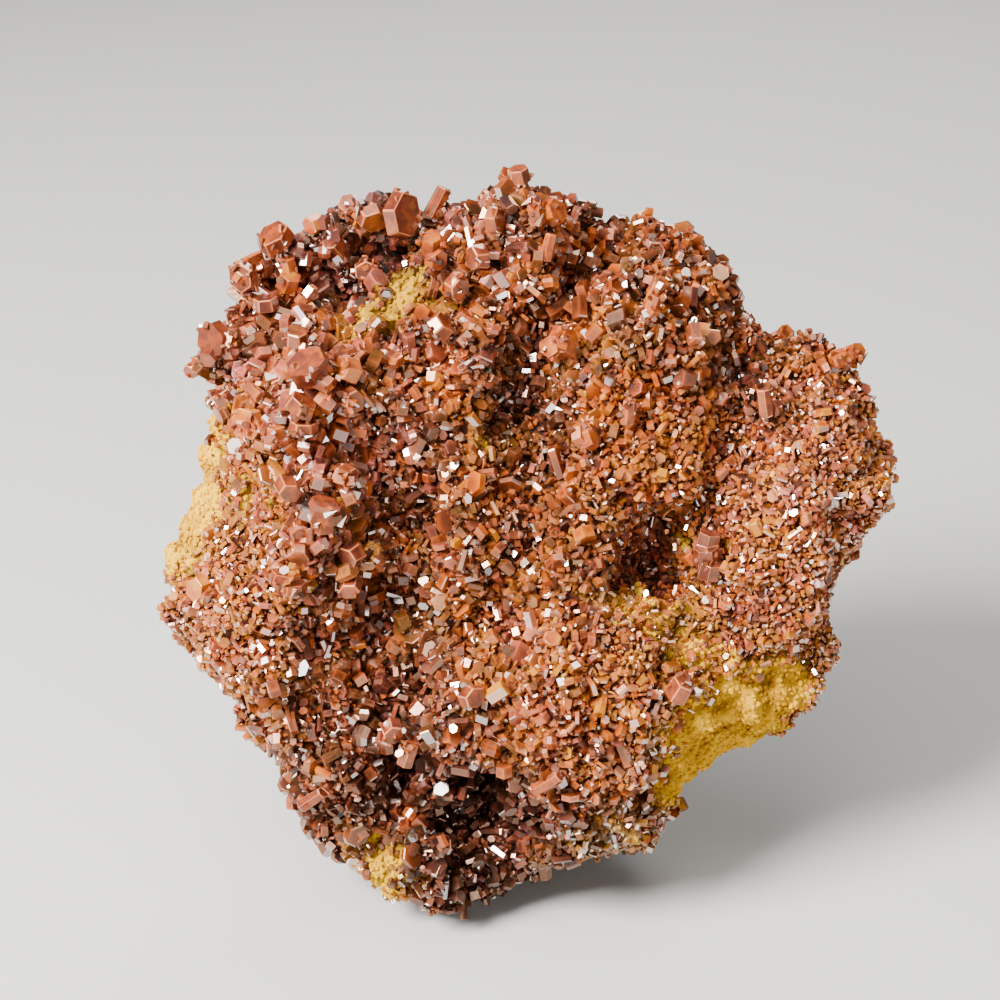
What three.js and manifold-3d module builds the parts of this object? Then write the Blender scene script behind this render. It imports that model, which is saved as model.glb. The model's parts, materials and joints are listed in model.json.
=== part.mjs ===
// Vanadinite on matrix: a cabinet specimen about 150 mm wide, standing on its own flat foot.
// Millimetres, +Z up, +X to the right, and the crystallised face turned to -Y.
//
// The rock is laid out on a leaning face: u runs to the right, v up the face and w out of it, and the
// whole is then tipped back. Places on the face are given as [u, v] where they appear, in the plane of
// the rim, to an eye straight in front of it. A star-shaped skin around the middle of the rock gives its shape: an
// outline, a domed front with lobes and hollows, and a back of flat breaks. The limonite matrix fills
// that skin, the drusy crust lies on it wherever the rock isn't bare, and the largest crystals stand
// in sockets in the crust.
import * as THREE from "three";
import { ImprovedNoise } from "three/addons/math/ImprovedNoise.js";
import { mergeVertices } from "three/addons/utils/BufferGeometryUtils.js";
import Module from "manifold-3d";

const wasm = await Module();
wasm.setup();

// ---- Driving dimensions ----
const LEAN = THREE.MathUtils.degToRad(25); // the face leans back from upright
const DOME = 22; // how far the middle of the face stands in front of the rim
const BACK = 44; // depth of the rock behind the rim, half way up
const RELIEF = 1.2; // the lobes and hollows below are raised or sunk this many times
const BACK_TAPER = 0.2; // the back is this much deeper for each mm further down
const SQUARENESS = 0.72; // 1 gives a rounded lens, less a boxier lump
const HEEL = 0.42; // the same for the outline of the back, which widens the foot
const CRUST = 3.2; // thickness of the drusy crust
const SUNK = -1.8; // the crust's skin runs this far inside the rock where the rock is bare
const OUTSET = 0.2; // a crystal's centre stands this share of its height above the crust's skin
const GAP = 0.3; // clearance that keeps neighbouring pieces apart
const TAPER = 0.88; // a crystal's outer end is this much narrower than its rooted end
const STRETCH = 1.1; // its six-sided outline is this much wider one way, and as much narrower across
const SEAT = 0.5; // clearance under the crust, taken along the way out of the rock
const EYE = new THREE.Vector3(-6, 9, 417); // the eye that places on the face are given for
const FOOT = -73.5; // where the floor crosses the plane of the rim, along v
const CRUST_DETAIL = 12; // subdivision of the crust's skin
const ROCK_DETAIL = 6; // subdivision of the rock's skin
const SEARCH_ROUNDS = 4; // steps that find a place on the skin
const FRONT_BIAS = 0.35; // 0 spreads the facets evenly, 1 would put them all on the front

// ---- Outline of the face, [u, v], anticlockwise from the right-hand lobe ----
const OUTLINE = [
  [74, 12], [71.5, 23], [68.5, 31], [67.5, 40], [60.5, 44.5], // right-hand lobe
  [47, 45.5], [41, 54], [35, 62], [29, 69], // notch and the dome's right edge
  [14, 68], [6, 71], [-2, 75], [-9, 72], [-14, 67], // top knob and the saddle left of it
  [-20, 69], [-34, 72], [-46, 66], [-58, 56], // top left rim
  [-62, 45], [-67, 41], [-66, 34], [-64, 27], // shoulder
  [-71, 19], [-71.5, 10.5], [-76.5, 3], [-77.5, -6], [-72, -15.5], // bare left edge
  [-62, -29], [-50, -46], [-40, -62], // lower left edge
  [-31, -73], [-22, -74.5], [-14, -72], [2, -67], [19, -63], // toe and lower edge
  [30, -55.5], [35.5, -47.5], [43.5, -42.5], [58.5, -39], // edge rising to the right
  [63.5, -31], [61.5, -20], [62, -12], [63, -5], [69, 3], // lower right corner
];

// ---- Relief of the face: [u, v, reach along, reach across, turn in degrees, rise] ----
const LOBES = [
  [-46, 32, 17, 12, 80, 6], // upper crest
  [-44, 8, 20, 11, 90, 6], // middle crest
  [-50, -12, 15, 13, 60, 5], // lower crest
  [-61, 40, 10, 9, 0, 4], // shoulder at the left end of the rim
  [-52, 56, 9, 8, 0, 5], // rim
  [-36, 66, 12, 7, 20, 5], // rim
  [-2, 64, 14, 11, 0, 7], // top knob
  [-10, 38, 14, 13, 0, 5], // ridge below the knob
  [-14, 12, 20, 10, 80, 4], // ridge down the middle
  [26, 46, 22, 18, -30, 6], // dome
  [14, 14, 15, 13, 0, 4], // middle
  [60, 14, 17, 14, -60, 7], // right-hand lobe
  [52, -12, 14, 11, 0, 4], // below the lobe
  [14, -30, 20, 16, -20, 8], // lower bulge
  [6, -52, 17, 11, -10, 6], // chin of the bulge
  [-17, -32, 12, 8, 80, 5], // rib left of the bulge
  [-44, -36, 14, 10, -60, 4], // lower left flank
  [-24, -66, 10, 7, 0, 2], // toe
];
const HOLLOWS = [
  [-40, 54, 16, 6.6, 33, -12], // long pocket under the rim
  [-18, 36, 8, 5, -30, -5], // gully beside the ridge
  [14, 56, 7, 5.5, 0, -5], // pit between knob and dome
  [2, 38, 9, 6, 60, -6], // gully down from the pit
  [-3, 20, 10, 6, 70, -6], // gully further down
  [0, 7, 7, 5, 0, -4], // foot of the gully
  [-22, 8, 10, 6, 60, -5], // valley right of the crest
  [-29, -11, 11, 7, 80, -6], // valley further down
  [-28, -28, 10, 7, 90, -7], // valley foot
  [-39, -20, 8, 6, 0, -5], // side pocket
  [-41, -34, 8, 6, 30, -5], // side pocket
  [-27, -49, 9, 7, 60, -8], // dark gap above the toe
  [-10, -56, 10, 7, -25, -14], // cave above the toe
  [27, -3, 12, 6.5, 35, -10], // long recess below the dome
  [40, 20, 9, 7, -60, -6], // shadow between dome and lobe
  [18, -31, 6, 5, -20, -5], // pit in the bulge
  [-8, -16, 7, 6, 0, -6], // pit beside the bulge
  [50, 39, 10, 6, 0, -9], // notch shelf
  [33, -17, 10, 6, 40, -6], // gully down to the bare corner
];

// ---- Where the rock is bare: [u, v, reach along, reach across, turn in degrees] ----
const BARE_PATCHES = [
  [-71, 6, 20, 7.5, 68], // left edge
  [-27, 51.5, 14, 4.6, 33], // ledge under the pocket
  [43, -34.5, 16.5, 9, 22], // lower right corner
  [33, -47, 9, 6, 60], // edge beside it
  [-29, -65, 7.5, 5, -45], // toe
  [14, -66, 14, 4.2, 12], // lower edge
];
const WRAP = 104; // degrees from the middle of the face at which the crust ends on the sides

// ---- Flat breaks over the back and sides: [normal u, v, w, distance from the middle] ----
const BREAKS = [
  [0.1, 0.42, -0.9, 39], // upper back
  [-0.3, 0.1, -0.95, 41], // left of the middle
  [0.44, -0.06, -0.9, 41], // right of the middle
  [0.05, -0.42, -0.9, 58], // lower back
  [-0.74, 0.3, -0.6, 52], // upper left side
  [-0.62, -0.42, -0.66, 56], // lower left side
  [0.64, 0.5, -0.58, 50], // upper right side
  [0.78, -0.3, -0.55, 46], // lower right side
  [-0.3, 0.86, -0.42, 58], // top left
  [0.2, 0.9, -0.38, 58], // top right
  [0.92, 0.05, -0.4, 66], // behind the lobe
];

// ---- The crystals that stand out of the crust ----
// Each piece is one crystal, or several grown through each other. A crystal is
// [u, v, width across corners, length along its axis, azimuth, tilt], where the axis leans from w by
// the tilt, towards the azimuth in the plane of the face, both in degrees.
const CRYSTALS = {
  rim_plate: [[-25, 65, 9.4, 2.8, -5, 46]],
  rim_bar: [[-18, 66.8, 3.2, 6.2, 62, 78]],
  rim_table: [[-31, 64.5, 6.4, 2.6, -62, 52]],
  rim_crown: [[-36.8, 70.4, 5.2, 2.2, 100, 30]],
  rim_block: [[-44, 67.4, 4.2, 3.2, -150, 45]],
  rim_barrel: [[-38.6, 60, 5.4, 4, 135, 34]],
  rim_glint: [[-50, 60.2, 7.2, 3.2, 118, 40]],
  rim_column: [
    [-47.8, 55.4, 3.8, 3.2, 100, 60],
    [-47.8, 52.4, 4.4, 3.6, 60, 40],
  ],
  rim_slab: [[-56.4, 52.6, 6.6, 2.4, 195, 28]],
  rim_shelf: [[-52.4, 48, 6, 2.4, 96, 68]],
  shoulder_rosette: [
    [-62.4, 40.4, 7.4, 3, 200, 24],
    [-58.8, 39.4, 5.6, 2, -12, 58],
    [-63.6, 37.4, 4.6, 2.4, 250, 50],
  ],
  shoulder_block: [[-66, 34.6, 3.8, 3.2, 215, 52]],
  shoulder_bar: [[-60.6, 29.6, 5, 2.4, 122, 68]],
  sill_hexagon: [[-46.6, 41.6, 4.8, 3.2, 88, 46]],
  hollow_hexagon: [[-32.6, 55, 5.2, 3, -92, 18]],
  ledge_bud: [
    [-19.6, 60, 4.4, 3.6, 80, 40],
    [-18.6, 57, 4.2, 3, -40, 35],
  ],
  ledge_plank: [[-17.6, 44, 6.2, 2.4, 40, 68]],
  ledge_wedge: [[-14.6, 51.6, 5.2, 3, -42, 44]],
  crest_barrel: [
    [-44, 35.4, 8.2, 4.2, 120, 34],
    [-42, 33, 3.8, 5.6, -28, 70],
  ],
  crest_flame: [[-36.6, 35.2, 6, 3.2, 165, 52]],
  crest_fan: [[-35.6, 29, 5, 2.8, -30, 36]],
  crest_bar: [[-45.8, 28, 6.6, 2.6, 58, 66]],
  crest_lintel: [[-45.4, 23.8, 5.8, 2, 82, 68]],
  crest_tan_plate: [[-56, 24.2, 7.2, 2.2, 200, 28]],
  crest_orange: [[-51, 21.6, 4.8, 3, -160, 44]],
  crest_red: [[-37, 13.6, 5, 3, -20, 54]],
  crest_hexagon: [[-48.4, 11.2, 5, 3.4, -60, 40]],
  crest_stack: [
    [-41.2, 7.8, 6, 1.8, 72, 60],
    [-41, 6, 6.4, 1.8, 78, 66],
    [-41.4, 4.2, 5.4, 1.8, 84, 70],
  ],
  crest_spark: [[-36, -2, 5, 3.2, -145, 44]],
  crest_heart: [[-36.2, -8.4, 4.6, 3.4, -100, 40]],
  flank_bars: [
    [-49, -6.4, 6, 1.9, 76, 70],
    [-47.6, -8.2, 5.6, 1.9, 84, 68],
  ],
  flank_rosette: [
    [-66, -8.6, 5.4, 2.2, 200, 40],
    [-63.6, -10, 4.6, 2.4, -60, 50],
  ],
  knob_cap: [[-2.2, 72.4, 5.2, 2.8, 100, 62]],
  knob_plank: [[-6.8, 64.4, 6.2, 2, -8, 66]],
  knob_torch: [
    [1.8, 66, 6.4, 2.4, 6, 66],
    [4.6, 66, 5.2, 2.8, 12, 40],
  ],
  knob_leg: [[3.8, 59.6, 2.8, 5.2, 76, 74]],
  knob_horn: [[-10.4, 57.2, 5.2, 3, 190, 56]],
  dome_flame: [
    [7, 40.6, 6.6, 3, 0, 54],
    [4.6, 39.8, 5, 2.4, 190, 40],
  ],
  dome_string: [
    [25.6, 51.6, 3.6, 3.4, 60, 55],
    [24.8, 49, 3.4, 3.2, 70, 60],
    [24.2, 46.4, 3.2, 3.2, 50, 60],
  ],
  dome_stack: [
    [10.4, 22.4, 5, 1.9, 18, 58],
    [12, 22, 5.2, 1.9, 22, 60],
  ],
  dome_post: [[19.8, 26.8, 3, 4.6, 84, 70]],
  lobe_fingers: [[47, 28.6, 3, 5.4, 100, 70]],
  lobe_horn: [
    [64.6, 38.4, 4.2, 2.6, 30, 40],
    [61.8, 37.4, 4.6, 2.2, 120, 58],
  ],
  lobe_spool: [
    [36, 1, 4.6, 3.6, 80, 60],
    [35.6, -1.8, 5.2, 3.8, 95, 55],
    [36.2, -4.8, 4.2, 3.2, 80, 60],
  ],
  bulge_mirror: [[4.6, -19, 3.8, 2, 90, 14]],
  bulge_drum: [[30.2, -28.6, 5.8, 4, 62, 58]],
  bulge_spike: [[3.4, -48, 2.8, 6.4, 35, 64]],
  toe_log: [[-42.8, -50, 3, 5.6, 35, 68]],
  toe_rose: [[-27.6, -37.4, 4.8, 3, -70, 35]],
  toe_lantern: [[-24.4, -42, 3.2, 5, 70, 68]],
  toe_pink: [[-11.6, -30.6, 5, 2.6, -10, 35]],
};

// ---- Materials ----
const limonite = new THREE.MeshStandardMaterial({ color: "#b98a2c", roughness: 0.95 });
const druse = new THREE.MeshStandardMaterial({ color: "#8e4a22", roughness: 0.35 });
const vanadinite = new THREE.MeshStandardMaterial({ color: "#a8481e", roughness: 0.18 });

// ---- The rock's skin ----
const noise = new ImprovedNoise();

// Distance from the middle to the outline, less the crust, for every half degree.
function traceRim(points) {
  const loop = points.map(([u, v]) => new THREE.Vector3(u, v, 0));
  const curve = new THREE.CatmullRomCurve3(loop, true, "centripetal");
  const steps = 720;
  const rim = new Array(steps).fill(0);
  for (const p of curve.getPoints(steps * 12)) {
    const slot = Math.round((Math.atan2(p.y, p.x) / (2 * Math.PI) + 1) * steps) % steps;
    rim[slot] = Math.hypot(p.x, p.y) - CRUST;
  }
  return rim;
}

const rim = traceRim(OUTLINE);

function rimRadius(turn) {
  const place = (turn / (2 * Math.PI) + 1) * rim.length;
  const low = Math.floor(place);
  const [a, b] = [rim[low % rim.length], rim[(low + 1) % rim.length]];
  return THREE.MathUtils.lerp(a, b, place - low);
}

// Where a point w in front of the rim's plane appears in that plane, and the other way round.
function asSeen(u, v, w) {
  const share = 1 - w / EYE.z;
  return [EYE.x + (u - EYE.x) / share, EYE.y + (v - EYE.y) / share];
}

function inPlace(u, v, w) {
  const share = 1 - w / EYE.z;
  return [EYE.x + (u - EYE.x) * share, EYE.y + (v - EYE.y) * share];
}

// How far [u, v] lies from the middle of a turned ellipse, 1 being its edge.
function ellipse(u, v, [atU, atV, along, across, turn]) {
  const angle = THREE.MathUtils.degToRad(turn);
  const p = (u - atU) * Math.cos(angle) + (v - atV) * Math.sin(angle);
  const q = (v - atV) * Math.cos(angle) - (u - atU) * Math.sin(angle);
  return Math.hypot(p / along, q / across);
}

function relief(u, v) {
  const bump = (form) => form[5] * Math.exp(-(ellipse(u, v, form) ** 2));
  return RELIEF * [...LOBES, ...HOLLOWS].reduce((sum, form) => sum + bump(form), 0);
}

// Thickness of the crust's skin over the rock, negative where the rock is bare.
function crustThickness(u, v, facing) {
  const wobble = 0.22 * noise.noise(u / 5, v / 5, 3.7);
  const patches = BARE_PATCHES.map((patch) => ellipse(u, v, patch));
  const onSide = THREE.MathUtils.radToDeg(Math.acos(facing));
  const nearest = Math.min(...patches, 1 + (WRAP - onSide) / 22) + wobble;
  return THREE.MathUtils.lerp(SUNK, CRUST, THREE.MathUtils.smoothstep(nearest, 0.9, 1.3));
}

// The point of the skin in a direction from the middle, on the leaning face.
function skinPoint(direction, thickness) {
  const facing = THREE.MathUtils.clamp(direction.z, -1, 1);
  const turn = Math.atan2(direction.y, direction.x);
  const squareness = facing > 0 ? SQUARENESS : HEEL;
  const reach = rimRadius(turn) * Math.sqrt(1 - facing * facing) ** squareness;
  const [u, v] = [reach * Math.cos(turn), reach * Math.sin(turn)];
  const swell = Math.abs(facing) ** SQUARENESS;
  const seen = asSeen(u, v, facing > 0 ? DOME * swell : 0);
  const front = DOME * swell + relief(...seen) * Math.sqrt(swell);
  const back = -(BACK - BACK_TAPER * v) * swell;
  const point = new THREE.Vector3(u, v, facing > 0 ? front : back);
  const outward = new THREE.Vector3(0.35 * direction.x, 0.35 * direction.y, direction.z).normalize();
  const roughness = 1.4 - 1.2 * Math.min(facing, 0.5);
  const lumps = noise.noise(point.x / 13, point.y / 13, point.z / 13) * roughness;
  point.addScaledVector(outward, lumps);
  for (const [nu, nv, nw, distance] of BREAKS) {
    const normal = new THREE.Vector3(nu, nv, nw).normalize();
    const beyond = point.dot(normal) - distance;
    if (beyond > 0) point.addScaledVector(normal, -0.88 * beyond);
  }
  return point.addScaledVector(outward, thickness(...seen, facing));
}

// The direction in which the front's skin stands over [u, v].
function directionOf(u, v) {
  const turn = Math.atan2(v, u);
  const share = Math.min(Math.hypot(u, v) / (rimRadius(turn) + 0.5 * CRUST), 0.99);
  const side = share ** (1 / SQUARENESS);
  return new THREE.Vector3(side * Math.cos(turn), side * Math.sin(turn), Math.sqrt(1 - side * side));
}

// The point that appears at [u, v], this far outside the crust's skin.
function frontPoint(u, v, outset) {
  let point = new THREE.Vector3(u, v, 0);
  for (let round = 0; round < SEARCH_ROUNDS; round += 1) {
    const direction = directionOf(...inPlace(u, v, point.z));
    point = skinPoint(direction, () => CRUST + outset);
  }
  return point;
}

// ---- Solids ----
function solidOf(geometry) {
  const plain = geometry.clone();
  plain.deleteAttribute("normal");
  plain.deleteAttribute("uv");
  const merged = mergeVertices(plain, 1e-4);
  const vertProperties = merged.attributes.position.array;
  const triVerts = new Uint32Array(merged.index.array);
  return new wasm.Manifold(new wasm.Mesh({ numProp: 3, vertProperties, triVerts }));
}

function geometryOf(solid) {
  const { vertProperties, triVerts } = solid.getMesh();
  const indexed = new THREE.BufferGeometry()
    .setAttribute("position", new THREE.BufferAttribute(vertProperties, 3))
    .setIndex(new THREE.BufferAttribute(triVerts, 1));
  const faceted = indexed.toNonIndexed();
  faceted.computeVertexNormals();
  return faceted;
}

// From the leaning face to the upright frame, with the floor at z = 0.
const tipped = new THREE.Matrix4().makeRotationX(Math.PI / 2 - LEAN);
const upright = tipped.clone().setPosition(0, 0, -FOOT * Math.cos(LEAN));

// An even direction, swung towards the front so that the crystallised face gets most of the facets.
function towardsFront(direction) {
  const shrink = 1 + FRONT_BIAS * direction.z;
  direction.z = (direction.z + FRONT_BIAS) / shrink;
  direction.x *= Math.sqrt(1 - FRONT_BIAS ** 2) / shrink;
  direction.y *= Math.sqrt(1 - FRONT_BIAS ** 2) / shrink;
  return direction;
}

function skin(detail, thickness) {
  const sphere = new THREE.IcosahedronGeometry(1, detail);
  const place = sphere.getAttribute("position");
  const direction = new THREE.Vector3();
  for (let i = 0; i < place.count; i += 1) {
    direction.fromBufferAttribute(place, i).normalize();
    const point = skinPoint(towardsFront(direction), thickness);
    place.setXYZ(i, point.x, point.y, point.z);
  }
  return solidOf(sphere.applyMatrix4(upright));
}

// A block whose top face lies at the given height, to cut a level foot.
function floorBlock(height) {
  const size = 400;
  return solidOf(new THREE.BoxGeometry(size, size, size).translate(0, 0, height - size / 2));
}

// A six-sided prism, its axis along +Y, grown by a margin all round. Each has a spin of its own.
function prism([, , width, length, azimuth, tilt], margin) {
  const radius = width / 2 + margin;
  const [top, bottom] = [radius * TAPER, radius];
  const spin = THREE.MathUtils.degToRad(azimuth * 3 + tilt * 5);
  return new THREE.CylinderGeometry(top, bottom, length + 2 * margin, 6)
    .scale(STRETCH, 1, 1 / STRETCH)
    .rotateY(spin);
}

// Where a piece's first crystal has its centre, in the upright frame.
function rootOf([[u, v, width, length, , tilt]]) {
  const lean = THREE.MathUtils.degToRad(tilt);
  const standing = width * Math.sin(lean) + length * Math.cos(lean);
  return frontPoint(u, v, OUTSET * standing).applyMatrix4(upright);
}

// The direction of a crystal's axis, in the upright frame.
function axisOf([, , , , azimuth, tilt]) {
  const [around, lean] = [azimuth, tilt].map(THREE.MathUtils.degToRad);
  const flat = new THREE.Vector3(Math.cos(around), Math.sin(around), 0);
  const axis = flat.multiplyScalar(Math.sin(lean)).setZ(Math.cos(lean));
  return axis.transformDirection(upright);
}

// A piece's crystals joined in one solid, around the centre of its first one.
function crystalSolid(crystals, margin) {
  const [[u, v]] = crystals;
  const up = new THREE.Vector3(0, 1, 0);
  return crystals
    .map((crystal) => {
      const step = new THREE.Vector3(crystal[0] - u, crystal[1] - v, 0).applyMatrix4(tipped);
      const turn = new THREE.Quaternion().setFromUnitVectors(up, axisOf(crystal));
      const place = new THREE.Matrix4().makeRotationFromQuaternion(turn).setPosition(step);
      return solidOf(prism(crystal, margin).applyMatrix4(place));
    })
    .reduce((sum, solid) => sum.add(solid));
}

// ---- Assembly ----
const specimen = new THREE.Group();

function addPiece(name, geometry, material, position = new THREE.Vector3()) {
  const mesh = new THREE.Mesh(geometry, material);
  mesh.name = name;
  mesh.position.copy(position);
  specimen.add(mesh);
}

let matrix = skin(ROCK_DETAIL, () => 0).subtract(floorBlock(0));
const bed = skin(ROCK_DETAIL, () => SEAT);
let crust = skin(CRUST_DETAIL, crustThickness).subtract(bed).subtract(floorBlock(GAP));

for (const [name, crystals] of Object.entries(CRYSTALS)) {
  const origin = rootOf(crystals);
  const socket = crystalSolid(crystals, GAP).translate(origin.toArray());
  matrix = matrix.subtract(socket);
  crust = crust.subtract(socket);
  addPiece(name, geometryOf(crystalSolid(crystals, 0)), vanadinite, origin);
}

// Loose flakes of crust are dropped, and what hangs together is one solid.
const largest = (solid) => solid.decompose().sort((a, b) => b.volume() - a.volume())[0];
addPiece("limonite_matrix", geometryOf(largest(matrix)), limonite);
addPiece("drusy_crust", geometryOf(largest(crust)), druse);

const bounds = new THREE.Box3().setFromObject(specimen);
const middle = bounds.getCenter(new THREE.Vector3());
specimen.position.set(-middle.x, -middle.y, 0);

export default specimen;
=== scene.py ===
# %% [markdown]
# # Vanadinite on matrix
#
# A chunk of limonite, a rusty iron ore, stands on its own foot. Hot water once ran over its front and
# left a druse there: a crust of thousands of small six-sided vanadinite crystals. The frame holds the
# rock, the crust as one solid and the largest crystals. This file gives the rock its grain, grows the
# small crystals on it and finds a finish for each mineral. Lengths are written in millimetres, and MM turns
# them into Blender's metres.

import json
import math

import bmesh
import bpy
import numpy as np
from mathutils import Matrix, Vector, kdtree, noise
from mathutils.bvhtree import BVHTree

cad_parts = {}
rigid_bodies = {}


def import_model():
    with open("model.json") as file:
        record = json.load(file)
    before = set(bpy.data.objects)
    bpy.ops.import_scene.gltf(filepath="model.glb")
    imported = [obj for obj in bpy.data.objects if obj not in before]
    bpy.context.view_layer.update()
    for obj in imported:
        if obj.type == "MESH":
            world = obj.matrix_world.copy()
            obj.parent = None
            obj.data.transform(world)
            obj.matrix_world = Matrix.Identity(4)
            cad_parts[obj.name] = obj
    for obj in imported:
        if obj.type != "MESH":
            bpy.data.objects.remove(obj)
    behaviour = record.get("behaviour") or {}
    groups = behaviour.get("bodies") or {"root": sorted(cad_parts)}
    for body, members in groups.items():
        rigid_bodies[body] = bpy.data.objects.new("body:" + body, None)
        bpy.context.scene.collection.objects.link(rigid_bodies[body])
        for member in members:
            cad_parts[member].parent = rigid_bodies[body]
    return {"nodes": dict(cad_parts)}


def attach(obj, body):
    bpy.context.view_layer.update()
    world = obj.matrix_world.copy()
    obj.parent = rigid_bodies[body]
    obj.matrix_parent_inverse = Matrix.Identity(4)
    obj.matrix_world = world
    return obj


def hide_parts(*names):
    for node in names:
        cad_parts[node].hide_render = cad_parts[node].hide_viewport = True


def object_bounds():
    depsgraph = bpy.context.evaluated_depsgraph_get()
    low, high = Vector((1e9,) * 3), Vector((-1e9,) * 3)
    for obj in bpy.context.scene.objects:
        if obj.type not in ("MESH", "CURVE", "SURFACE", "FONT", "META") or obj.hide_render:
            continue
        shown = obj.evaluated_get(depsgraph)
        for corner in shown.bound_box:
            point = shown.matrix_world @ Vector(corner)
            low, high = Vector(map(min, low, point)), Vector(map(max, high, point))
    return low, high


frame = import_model()
cad_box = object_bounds()
MM = 0.001
ROCK, CRUST = "limonite_matrix", "drusy_crust"
standing = sorted(set(frame["nodes"]) - {ROCK, CRUST})
print(len(standing), "large crystals stand in the frame")

# %% [markdown]
# Every node tree below, for shapes and for materials alike, is written with one small function. It adds a
# node, sets what it is told to, and fills or links its inputs. A second one turns the hex colours that a
# painter would note down, which are sRGB, into the linear values that Blender calculates with. The kinds of
# node and the settings that come up most have short names.


# %% Two helpers
MATH, VECTOR, MIX, RANGE = (f"ShaderNode{kind}" for kind in ("Math", "VectorMath", "Mix", "MapRange"))
NOISE, VALUE = "ShaderNodeTexNoise", "GeometryNodeInputNamedAttribute"
RANDOM, KEEP = "FunctionNodeRandomValue", "GeometryNodeStoreNamedAttribute"
TIMES, PLUS, TIMES_PLUS = ({"operation": name} for name in ("MULTIPLY", "ADD", "MULTIPLY_ADD"))
SMOOTH = {"interpolation_type": "SMOOTHSTEP"}


def add_node(tree, kind, inputs=(), stops=(), **settings):
    """Inputs are values, sockets, or nodes, whose first output is meant. Stops are those of a colour ramp."""
    node = tree.nodes.new(kind)
    for name, value in settings.items():
        setattr(node, name, value)
    for socket, value in inputs.items() if isinstance(inputs, dict) else enumerate(inputs):
        if isinstance(value, bpy.types.Node):
            value = next(output for output in value.outputs if output.enabled)
        if isinstance(value, bpy.types.NodeSocket):
            tree.links.new(value, node.inputs[socket])
        else:
            node.inputs[socket].default_value = value
    while stops and len(node.color_ramp.elements) < len(stops):
        node.color_ramp.elements.new(0.5)
    for index, (position, code) in enumerate(stops):
        node.color_ramp.elements[index].position = position
        node.color_ramp.elements[index].color = linear(code)
    return node


def linear(code):
    shares = [int(code[i : i + 2], 16) / 255 for i in (1, 3, 5)]
    return [c / 12.92 if c <= 0.04045 else ((c + 0.055) / 1.055) ** 2.4 for c in shares] + [1.0]


# %% [markdown]
# ## Where things are on the face
#
# The crystallised face leans back by 25 degrees, so places on it are easiest to give as u, to the right,
# and v, up the face, in millimetres from the middle of its rim. One function turns points of a mesh into
# u, v and w, the height out of the face. It gives u and v as they look from an eye in front of the rim, so
# what stands nearer to the eye counts as a little further out.

# %% Places on the leaning face
LEAN_DEGREES = 25
LEAN = math.radians(LEAN_DEGREES)
FACE_MIDDLE = np.array((0.6, 2.4, 66.6))  # in mm: the middle of the rim in the frame
FACE_RIGHT = np.array((1.0, 0.0, 0.0))
FACE_UP = np.array((0.0, math.sin(LEAN), math.cos(LEAN)))
FACE_OUT = np.array((0.0, -math.cos(LEAN), math.sin(LEAN)))
EYE_PLACE = (-6, 9)  # u and v of the eye
EYE_DISTANCE = 417.0  # mm in front of the rim


def points_of(mesh):
    flat = np.empty(len(mesh.vertices) * 3)
    mesh.vertices.foreach_get("co", flat)
    return flat.reshape(-1, 3)


def face_places(points):
    away = points / MM - FACE_MIDDLE
    u, v, w = away @ FACE_RIGHT, away @ FACE_UP, away @ FACE_OUT
    nearer = 1 - np.clip(w, 0, None) / EYE_DISTANCE
    eye_u, eye_v = EYE_PLACE
    return eye_u + (u - eye_u) / nearer, eye_v + (v - eye_v) / nearer, w


# %% [markdown]
# ## Camera, floor and light
#
# The camera looks straight at the leaning face from 25 degrees above. A bright round light at the upper
# left rakes over the face: it throws shadows between the crystals, and makes their faces flash, since a flat
# face only flashes when it mirrors something bright. A broad, weak one above the front gives the other faces
# a pale sheen, a small fill at the right opens the shadows, and one behind lights the back. A soft sun
# straight above lights the floor far away. The studio's walls are paler than its ceiling, so a low view has
# a soft grey background while the gaps between the crystals stay dark.

# %% Camera
low, high = cad_box
middle = (low + high) / 2
AIM = Vector((-0.0054, 0.0062, 0.0748))  # the point that the view is centred on
camera = bpy.data.objects.new("camera", bpy.data.cameras.new("camera"))
camera.data.lens = 75
camera.data.clip_start = 0.01
camera.location = AIM + Vector(FACE_OUT) * EYE_DISTANCE * MM
camera.rotation_euler = (math.radians(90 - LEAN_DEGREES), 0, 0)
bpy.context.scene.collection.objects.link(camera)
bpy.context.scene.camera = camera
print("the camera stands at", [round(x, 3) for x in camera.location], "m")


# %% Floor, world and lights
def plain_material(name, code, roughness):
    material = bpy.data.materials.new(name)
    material.use_nodes = True
    shader = material.node_tree.nodes["Principled BSDF"]
    shader.inputs["Base Color"].default_value = linear(code)
    shader.inputs["Roughness"].default_value = roughness
    return material


REACH = 12.0  # metres from the middle of the floor to its edges
floor_mesh = bpy.data.meshes.new("floor")
corners = [(-REACH, -REACH, 0), (REACH, -REACH, 0), (REACH, REACH, 0), (-REACH, REACH, 0)]
floor_mesh.from_pydata(corners, [], [(0, 1, 2, 3)])
floor = bpy.data.objects.new("floor", floor_mesh)
floor.data.materials.append(plain_material("pale studio card", "#A8A6A2", 0.8))
bpy.context.scene.collection.objects.link(floor)

world = bpy.data.worlds.new("studio")
bpy.context.scene.world = world
world.use_nodes = True
background = world.node_tree.nodes["Background"]
background.inputs["Color"].default_value = linear("#D6DAE0")
WALL, CEILING = (0.12, 0.4), (0.4, 0.12)  # height, 0 level and 1 straight up, and brightness
towards = add_node(world.node_tree, "ShaderNodeTexCoord").outputs["Generated"]
height = add_node(world.node_tree, "ShaderNodeSeparateXYZ", (towards,)).outputs["Z"]
brightness = add_node(world.node_tree, RANGE, (height, WALL[0], CEILING[0], WALL[1], CEILING[1]))
world.node_tree.links.new(brightness.outputs[0], background.inputs["Strength"])


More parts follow.
